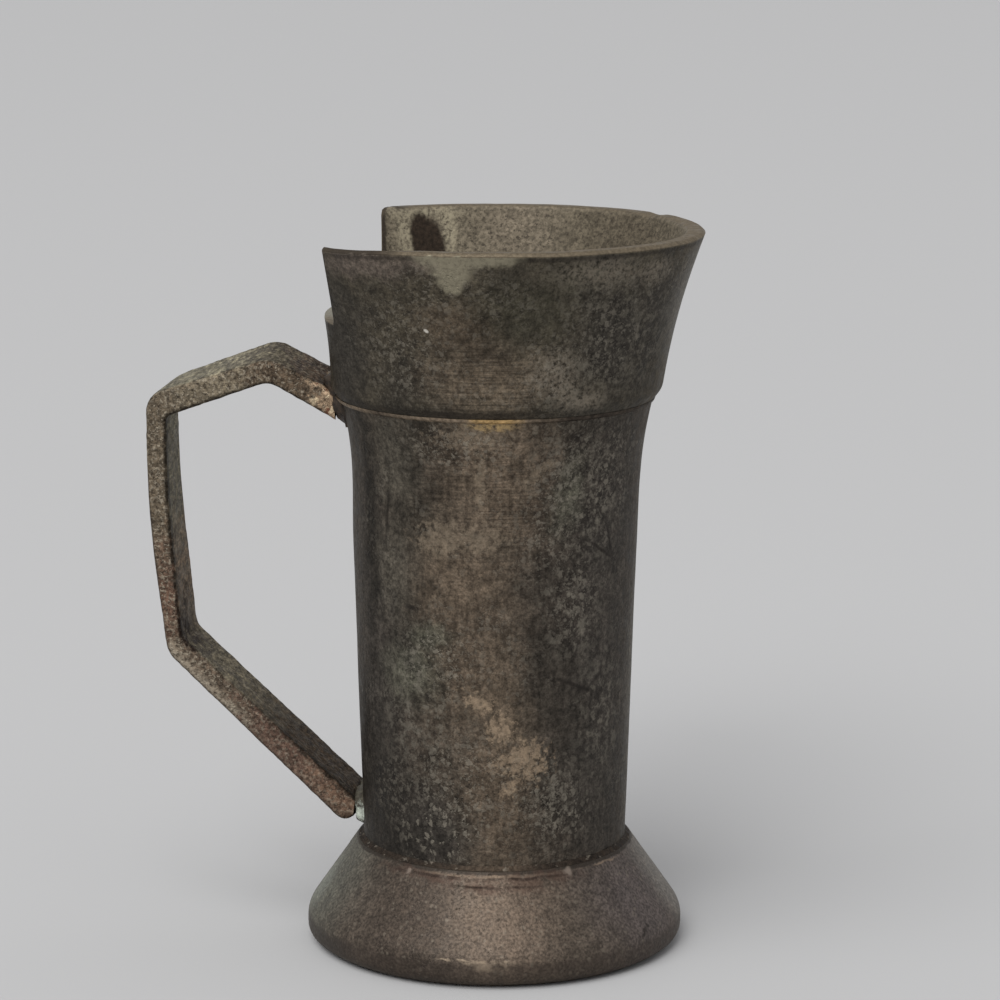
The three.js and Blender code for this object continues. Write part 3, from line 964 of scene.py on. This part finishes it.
def strap_section():
    """Round the strip's section: shares across from the near side and deep from the outer face."""
    side = strap_edge / (2 * strap_half_width)
    face = strap_edge / strap_thickness
    centres = [(side, face), (1 - side, face), (1 - side, 1 - face), (side, 1 - face)]
    around = []
    for centre, start in zip(centres, (180, 270, 0, 90)):
        for step in range(5):
            turn = radians(start + 90 * step / 4)
            around.append(Vector((centre[0] + side * cos(turn), centre[1] + face * sin(turn))))
    filled = []
    for spot, after in zip(around, around[1:] + around[:1]):
        run = abs(after.x - spot.x) * 2 * strap_half_width + abs(after.y - spot.y) * strap_thickness
        count = max(1, round(run / strap_spacing))
        filled += [spot.lerp(after, step / count) for step in range(count)]
    return filled


stations = list(zip(bent(near_outer), bent(near_inner), bent(far_outer), bent(far_inner)))
lengths = [0]
for station, after in zip(stations, stations[1:]):
    lengths.append(lengths[-1] + (after[0] - station[0]).length)
strip_outline = strap_section()
strap_shell = bmesh.new()
across_share = strap_shell.verts.layers.float.new("across")
deep_share = strap_shell.verts.layers.float.new("deep")
along_share = strap_shell.verts.layers.float.new("along")
rings = []
for length, (top_near, low_near, top_far, low_far) in zip(lengths, stations):
    ring = []
    for across, deep in strip_outline:
        spot = top_near.lerp(low_near, deep).lerp(top_far.lerp(low_far, deep), across)
        sideways = strap_half_width * (2 * across - 1)
        corner = strap_shell.verts.new((spot.x * mm, sideways * mm, spot.y * mm))
        corner[across_share] = across
        corner[deep_share] = deep
        corner[along_share] = length / lengths[-1]
        ring.append(corner)
    rings.append(ring)
fill_bands(strap_shell, rings)
strap_shell.faces.new(rings[0])
strap_shell.faces.new(rings[-1][::-1])
bmesh.ops.recalc_face_normals(strap_shell, faces=strap_shell.faces)
strap_shell.normal_update()
for spot in strap_shell.verts:
    place = spot.co / mm
    rough = uneven(place, strap_lumps)
    rough += uneven(place, cut_end_lumps) * eased_step(spot[along_share], 0.05, 0)
    spot.co += spot.normal * rough * mm
strap = finished_piece("handle_strip", strap_shell)

skin = Finish("strap_tarnish", 0.5, glance)
mottle = skin.speckle(1.1, 4.0, 0.66)
grain = skin.speckle(3.6, 3.0, 0.65)
dust = skin.speckle(9.0, 2.0, 0.6)
shreds = skin.speckle(1.7, 5.0, 0.7)
along, across, deep = skin.share("along"), skin.share("across"), skin.share("deep")
wander = skin.plus(along, skin.band(mottle, 0.3, 0.7, -0.03, 0.03))
near_face = skin.band(across, 0.075, 0.015)
inner_face = skin.band(deep, 0.8, 0.92)
short_arm = skin.band(wander, 0.17, 0.11)
joint_end = skin.band(wander, 0.11, 0.04)
top_arm = skin.band(wander, 0.27, 0.2)
low_arm = skin.band(wander, 0.6, 0.66)
low_end = skin.band(wander, 0.74, 0.88)
rusted = skin.band(wander, 0.74, 0.82)
grip_foot = skin.times(skin.band(wander, 0.45, 0.58), skin.band(wander, 0.68, 0.6))
crosswise = skin.stretched(1, 0.33, 1)
file_marks = skin.speckle(3.4, 3.0, 0.65, crosswise)
scribbles = skin.speckle(1.7, 4.0, 0.7, crosswise)
skin.colour = skin.paint(top_arm, tone(112, 107, 91), tone(128, 122, 103))
skin.coat(short_arm, tone(88, 82, 68))
skin.coat(joint_end, tone(66, 53, 43))
skin.coat(skin.times(inner_face, low_arm), tone(102, 95, 79))
skin.coat(skin.times(inner_face, grip_foot), tone(116, 96, 79), 0.7)
skin.coat(skin.times(inner_face, low_end), tone(54, 43, 32))
skin.vary((file_marks, 0.6, 1.48), (scribbles, 0.7, 1.34))
flat_faces = skin.colour
skin.colour = skin.paint(top_arm, tone(101, 90, 75), tone(116, 106, 89))
skin.coat(short_arm, tone(89, 76, 62))
skin.coat(grip_foot, tone(98, 77, 64))
skin.coat(low_arm, tone(106, 94, 80))
skin.coat(skin.times(low_arm, skin.band(deep, 0.45, 0.8)), tone(86, 73, 61), 0.7)
skin.coat(rusted, tone(96, 76, 65))
skin.coat(skin.band(wander, 0.88, 0.97), tone(105, 84, 69))
skin.colour = skin.paint(near_face, flat_faces, skin.colour)
skin.vary((mottle, 0.72, 1.3), (grain, 0.6, 1.45), (dust, 0.75, 1.28))
rough_side = skin.either(near_face, skin.times(skin.either(top_arm, inner_face), 0.65))
flakes = skin.band(skin.speckle(4.0, 3.0, 0.62), 0.48, 0.66)
flakes = skin.times(flakes, rough_side, skin.band(rusted, 0, 1, 0.72, 0.36))
skin.coat(flakes, tone(168, 157, 139))
pits = skin.band(skin.speckle(3.5, 3.0, 0.65), 0.5, 0.67)
pits = skin.times(pits, rough_side, skin.band(rusted, 0, 1, 0.64, 0.48))
skin.coat(pits, tone(46, 38, 31))
bare_edge = skin.times(low_arm, near_face, skin.band(deep, 0.6, 0.2), skin.band(rusted, 0, 1, 1, 0.1))
skin.coat(skin.gnawed(bare_edge, grain), tone(176, 165, 147), 0.6)
# A dark line on the inner face along its near edge, on the lower arm and end: painted shade.
inner_edge_shade = skin.gnawed(skin.times(inner_face, skin.band(across, 0.2, 0.1)), shreds)
inner_edge_shade = skin.times(inner_edge_shade, skin.either(skin.band(wander, 0.66, 0.6), low_end))
skin.coat(inner_edge_shade, tone(38, 33, 27), 0.9)
ridge = skin.times(top_arm, skin.band(deep, 0.34, 0.16), skin.band(across, 0.16, 0.06))
skin.coat(skin.times(ridge, skin.band(shreds, 0.52, 0.62)), tone(48, 43, 35), 0.7)
outer_line = skin.times(near_face, skin.band(deep, 0.16, 0.05), skin.band(wander, 0.36, 0.44))
skin.coat(outer_line, tone(50, 42, 34), 0.6)
crease = skin.times(skin.band(wander, 0.58, 0.62), skin.band(wander, 0.7, 0.66), inner_face)
crease = skin.times(crease, skin.band(across, 0.9, 0.5), skin.band(scribbles, 0.4, 0.52))
skin.coat(crease, tone(34, 24, 19), 0.95)
filed_end = skin.torn(skin.times(skin.band(along, 0.06, 0.005), near_face), shreds)
filed_tone = skin.broken(tone(172, 148, 122), grain, 0.6, 1.3)
# Cream dabs on the filed end: painted glints on the bare filed metal.
filed_tone = skin.paint(skin.dabs(1.8, skin.frayed(1.0, 1.6), 0.02), filed_tone, tone(232, 212, 178), 0.85)
red_spots = skin.band(skin.speckle(1.5, 2.0, 0.5), 0.58, 0.66)
filed_tone = skin.paint(red_spots, filed_tone, tone(108, 62, 44), 0.85)
skin.coat(filed_end, filed_tone, 0.9)
normal = skin.relief((mottle, 0.05), (grain, 0.06), (flakes, 0.05), (pits, -0.06))
skin.lay_on(strap, skin.band(mottle, 0.3, 0.7, 0.36, 0.64), normal)
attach(strap, "root")
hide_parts("handle_strap")


# Solder at the handle's ends
# Two lumpy pads of solder that hold the strip to the cup: the upper one, under the collar's edge, is brown
# and bright only where it was filed, and the lower one has a grey-green crust.

pad_lumps = [(0.12, 0.9), (0.05, 0.35)]
pad_depth = 0.2


def wall_radius(height):
    """The cup's outside on the handle's side, from the neck up past the collar."""
    if height >= collar_height:
        return collar_radius - lean_start + (height - collar_height) * 0.05
    if height >= collar_edge:
        return seat_radius + 0.1 + (height - collar_edge) * 0.5
    if height >= flare_start:
        flared = (height - flare_start) / (collar_edge - flare_start)
        return waist_radius + (seat_radius - waist_radius) * flared ** 2.2
    climbed = (height - tube_start) / (flare_start - tube_start)
    return neck_radius + (waist_radius - neck_radius) * climbed


def solder_pad(name, node, thick):
    """A lumpy skin of solder on the cup's wall behind the handle, thinned out to nothing at its edge."""
    pad_low, pad_high = reach(node)
    shell = bmesh.new()
    across, up = 40, 44
    rings = []
    for row in range(up + 1):
        rise = 2 * row / up - 1
        height = pad_low.z + (pad_high.z - pad_low.z) * row / up
        radius = wall_radius(height)
        front, back = [], []
        for column in range(across + 1):
            side = 2 * column / across - 1
            angle = pi + side * pad_high.y / radius
            rim = (abs(side) ** 4 + abs(rise) ** 4) ** 0.25
            lump = uneven(on_cup(angle, radius, height), pad_lumps)
            raised = (thick + lump) * eased_step(rim, 1.02, 0.8 + lump) - 0.05
            front.append(corner_at(shell, angle, radius + raised, height))
            back.append(corner_at(shell, angle, radius - pad_depth, height))
        rings.append(front + back[::-1])
    fill_bands(shell, rings)
    for ring in (rings[0], rings[-1]):
        for column in range(across):
            shell.faces.new((ring[column], ring[column + 1], ring[-2 - column], ring[-1 - column]))
    return finished_piece(name, shell, crease=60)


def crusted(pad, name, metal, dark, pale, bright, bright_patches):
    """A pad's skin: two tones of crust, with bright patches."""
    skin = Finish(name, metal)
    mottle = skin.speckle(1.6, 5.0, 0.7)
    skin.colour = skin.paint(skin.band(mottle, 0.35, 0.65), dark, pale)
    spots = skin.torn(skin.stains(skin.frayed(0.4, 2.0), neck_radius, bright_patches, 0.7), mottle)
    skin.coat(spots, bright, 0.9)
    skin.vary((skin.speckle(4.0, 3.0, 0.65), 0.7, 1.3))
    skin.lay_on(pad, skin.band(mottle, 0.3, 0.7, 0.45, 0.75), skin.relief((mottle, 0.08)))


upper_pad = solder_pad("upper_solder_pad", "upper_handle_solder", 0.5)
filed_patches = [(180, 38.3, 0.8, 0.3)]
crusted(upper_pad, "upper_crust", 0.3, tone(38, 31, 25), tone(66, 54, 42), tone(112, 96, 74), filed_patches)
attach(upper_pad, "root")
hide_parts("upper_handle_solder")

lower_pad = solder_pad("lower_solder_pad", "lower_handle_solder", 0.6)
grey_patches = [(-164, 8.7, 0.7, 0.75), (162, 8.9, 0.6, 0.6)]
crusted(lower_pad, "lower_crust", 0.2, tone(52, 46, 37), tone(78, 74, 61), tone(186, 193, 180), grey_patches)
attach(lower_pad, "root")
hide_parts("lower_handle_solder")


# Studio
# A wide pale floor that runs back past the top of the picture, soft lamps in front of and above the cup, and
# a camera on a tripod a little above the rim.

floor_half = 3.0
floor_mesh = bpy.data.meshes.new("floor")
floor_corners = [(-1, -1), (1, -1), (1, 1), (-1, 1)]
floor_mesh.from_pydata([(x * floor_half, y * floor_half, 0) for x, y in floor_corners], [], [(0, 1, 2, 3)])
floor = bpy.data.objects.new("floor", floor_mesh)
floor.location.z = -0.02 * mm
bpy.context.scene.collection.objects.link(floor)
floor_paint = bpy.data.materials.new("floor_paint")
floor_paint.use_nodes = True
floor_shader = floor_paint.node_tree.nodes["Principled BSDF"]
floor_shader.inputs["Base Color"].default_value = tone(190, 190, 190)
floor_shader.inputs["Roughness"].default_value = 0.8
floor_shader.inputs["Specular IOR Level"].default_value = 0.1
floor_mesh.materials.append(floor_paint)

world = bpy.data.worlds.new("room")
bpy.context.scene.world = world
world.use_nodes = True
world.node_tree.nodes["Background"].inputs["Color"].default_value = (0.56, 0.56, 0.57, 1)
world.node_tree.nodes["Background"].inputs["Strength"].default_value = 1.0


def aimed_lamp(name, lamp, place, aim):
    lamp_object = bpy.data.objects.new(name, lamp)
    lamp_object.location = place
    lamp_object.rotation_euler = (Vector(aim) - Vector(place)).to_track_quat("-Z", "Y").to_euler()
    bpy.context.scene.collection.objects.link(lamp_object)


front_lamp = bpy.data.lights.new("front_lamp", "AREA")
front_lamp.shape = "DISK"
front_lamp.size = 0.5
front_lamp.energy = 3.2
aimed_lamp("front_lamp", front_lamp, (-0.15, -0.9, 0.75), (0, 0, 0.025))
window = bpy.data.lights.new("window", "SUN")
window.energy = 1.5
window.angle = radians(50)
aimed_lamp("window", window, (-0.25, -0.55, 0.9), (0, 0, 0))

camera_turn = radians(10)
camera_pitch = 0.192045
camera_roll = 0.002313
camera_aside, camera_back, camera_up = 0.3267, 237.965, 76.315
right = Vector((cos(camera_turn), sin(camera_turn), 0))
ahead = Vector((-sin(camera_turn), cos(camera_turn), 0))
upright = Vector((0, 0, 1))
eye = (right * camera_aside - ahead * camera_back + upright * camera_up) * mm
sight = ahead * cos(camera_pitch) - upright * sin(camera_pitch)
crown = ahead * sin(camera_pitch) + upright * cos(camera_pitch)
level_right = right * cos(camera_roll) + crown * sin(camera_roll)
level_crown = crown * cos(camera_roll) - right * sin(camera_roll)
camera_data = bpy.data.cameras.new("camera")
camera_data.sensor_width = 36.0
camera_data.lens = 130.5385
camera_data.clip_start = 0.01
camera_data.clip_end = 20.0
camera = bpy.data.objects.new("camera", camera_data)
bpy.context.scene.collection.objects.link(camera)
facing = Matrix((level_right, level_crown, -sight)).transposed().to_4x4()
camera.matrix_world = Matrix.Translation(eye) @ facing
bpy.context.scene.camera = camera
bpy.context.scene.view_settings.view_transform = "Standard"
